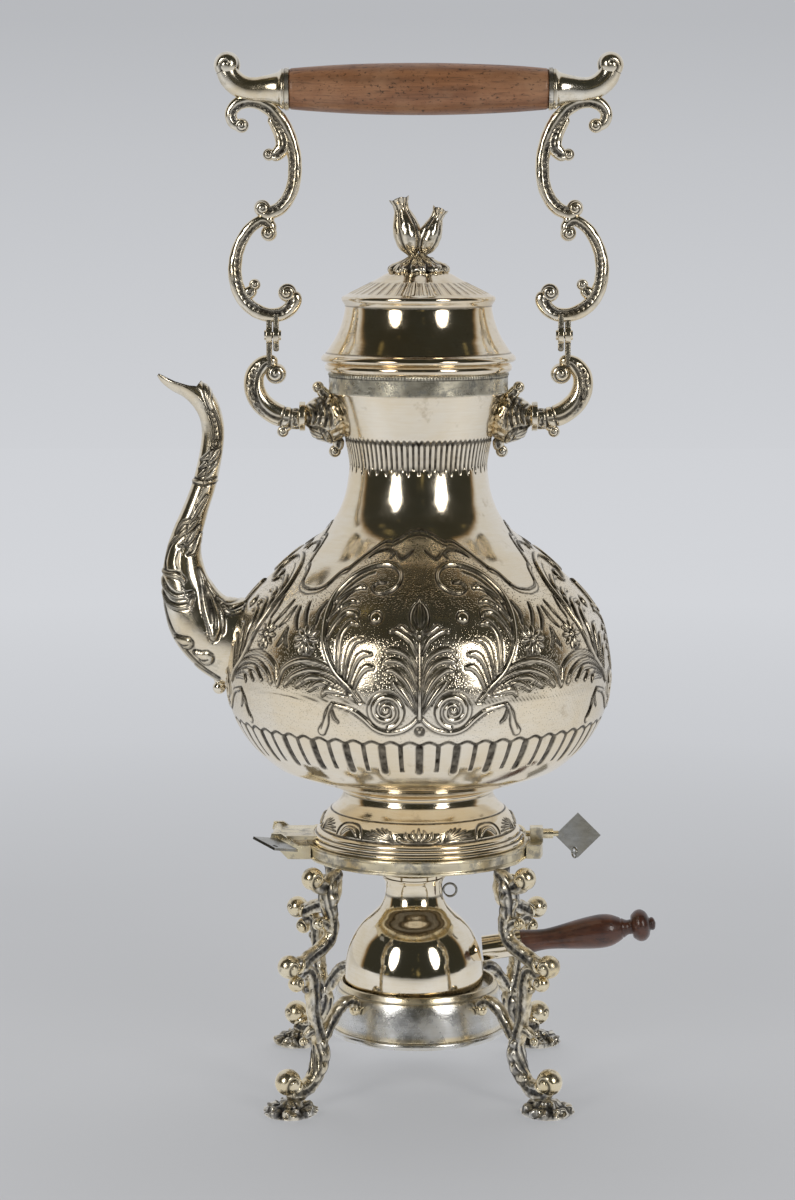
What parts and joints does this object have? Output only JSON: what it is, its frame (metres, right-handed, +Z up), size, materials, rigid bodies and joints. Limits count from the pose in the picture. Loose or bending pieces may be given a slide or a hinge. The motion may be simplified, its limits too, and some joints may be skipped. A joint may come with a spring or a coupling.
{
  "type": "spirit kettle on burner stand",
  "caption": "Long-necked silver-plated tea kettle with swing bail handle, tilting on a footed stand over a spirit burner with a wooden handle.",
  "frame": {"origin": "on the floor under the middle of the whole object; the kettle's upright axis is 2.65 mm towards +X from it", "axes": "+Z up; +X from the spout towards the burner's handle; -Y towards the viewer"},
  "size_m": [0.1872, 0.1444, 0.3877],
  "materials": {
    "kettle_silver": "worn silver plate, polished, warm tarnish",
    "cast_silver": "cast and silver plated, darkened recesses",
    "stand_silver": "cast and silver plated, grey and worn",
    "burner_silver": "polished silver plate",
    "fixings": "plain plated",
    "grip_wood": "aged turned wood, satin",
    "handle_wood": "dark varnished turned wood",
    "wick_cotton": "woven cotton"
  },
  "bodies": {
    "stand": {"stand_ring": "stand_silver", "hinge_lugs": "stand_silver", "bolt_lug": "stand_silver", "tray": "stand_silver", "tray_rim": "stand_silver", "leg_front_left": "stand_silver", "leg_front_right": "stand_silver", "leg_rear_left": "stand_silver", "leg_rear_right": "stand_silver", "foot_pad_front_left": "stand_silver", "foot_pad_front_right": "stand_silver", "foot_pad_rear_left": "stand_silver", "foot_pad_rear_right": "stand_silver"},
    "kettle": {"kettle_body": "kettle_silver", "mouth_collar": "kettle_silver", "mouth_bead": "kettle_silver", "kettle_foot": "kettle_silver", "foot_base_ring": "kettle_silver", "spout": "cast_silver", "bail_bracket_left": "cast_silver", "bail_bracket_right": "cast_silver", "bail_rivets": "fixings", "hinge_tongue": "kettle_silver"},
    "lid": {"lid_shell": "kettle_silver", "lid_bezel": "kettle_silver", "finial_leaves": "cast_silver", "finial_buds": "cast_silver", "finial_screw": "fixings", "finial_nut": "fixings"},
    "bail": {"bail_scroll_left": "cast_silver", "bail_scroll_right": "cast_silver", "bail_ferrule_left": "cast_silver", "bail_ferrule_right": "cast_silver", "bail_grip": "grip_wood", "grip_rod": "fixings", "grip_beads": "cast_silver"},
    "burner": {"burner_font": "burner_silver", "burner_eye": "burner_silver", "handle_socket": "burner_silver", "handle_tang": "fixings", "burner_handle": "handle_wood"},
    "wick_unit": {"wick_holder": "burner_silver", "wick": "wick_cotton"},
    "hinge_pin": {"hinge_pin": "stand_silver", "hinge_thumb_plate": "stand_silver"},
    "lock_bolt": {"lock_bolt": "stand_silver", "bolt_thumb_plate": "stand_silver", "chain_ring": "stand_silver"}
  },
  "joints": [
    {"name": "kettle_tilt", "type": "hinge", "parent": "stand", "child": "kettle", "pos_m": [-0.05064, 0, 0.0958], "axis": [0, -1, 0], "range_deg": [0, 55]},
    {"name": "bail_swing", "type": "hinge", "parent": "kettle", "child": "bail", "pos_m": [0.00266, 0, 0.2842], "axis": [1, 0, 0], "range_deg": [-130, 130]},
    {"name": "lid_lift", "type": "slide", "parent": "kettle", "child": "lid", "axis": [0, 0, 1], "range_m": [0, 0.026]},
    {"name": "burner_lift", "type": "slide", "parent": "stand", "child": "burner", "axis": [0, 0, 1], "range_m": [0, 0.011]},
    {"name": "wick_lift", "type": "slide", "parent": "burner", "child": "wick_unit", "axis": [0, 0, 1], "range_m": [0, 0.012]},
    {"name": "hinge_pin_pull", "type": "slide", "parent": "stand", "child": "hinge_pin", "axis": [0, -1, 0], "range_m": [0, 0.026]},
    {"name": "bolt_slide", "type": "slide", "parent": "stand", "child": "lock_bolt", "axis": [-1, 0, 0], "range_m": [0, 0.0039]}
  ]
}
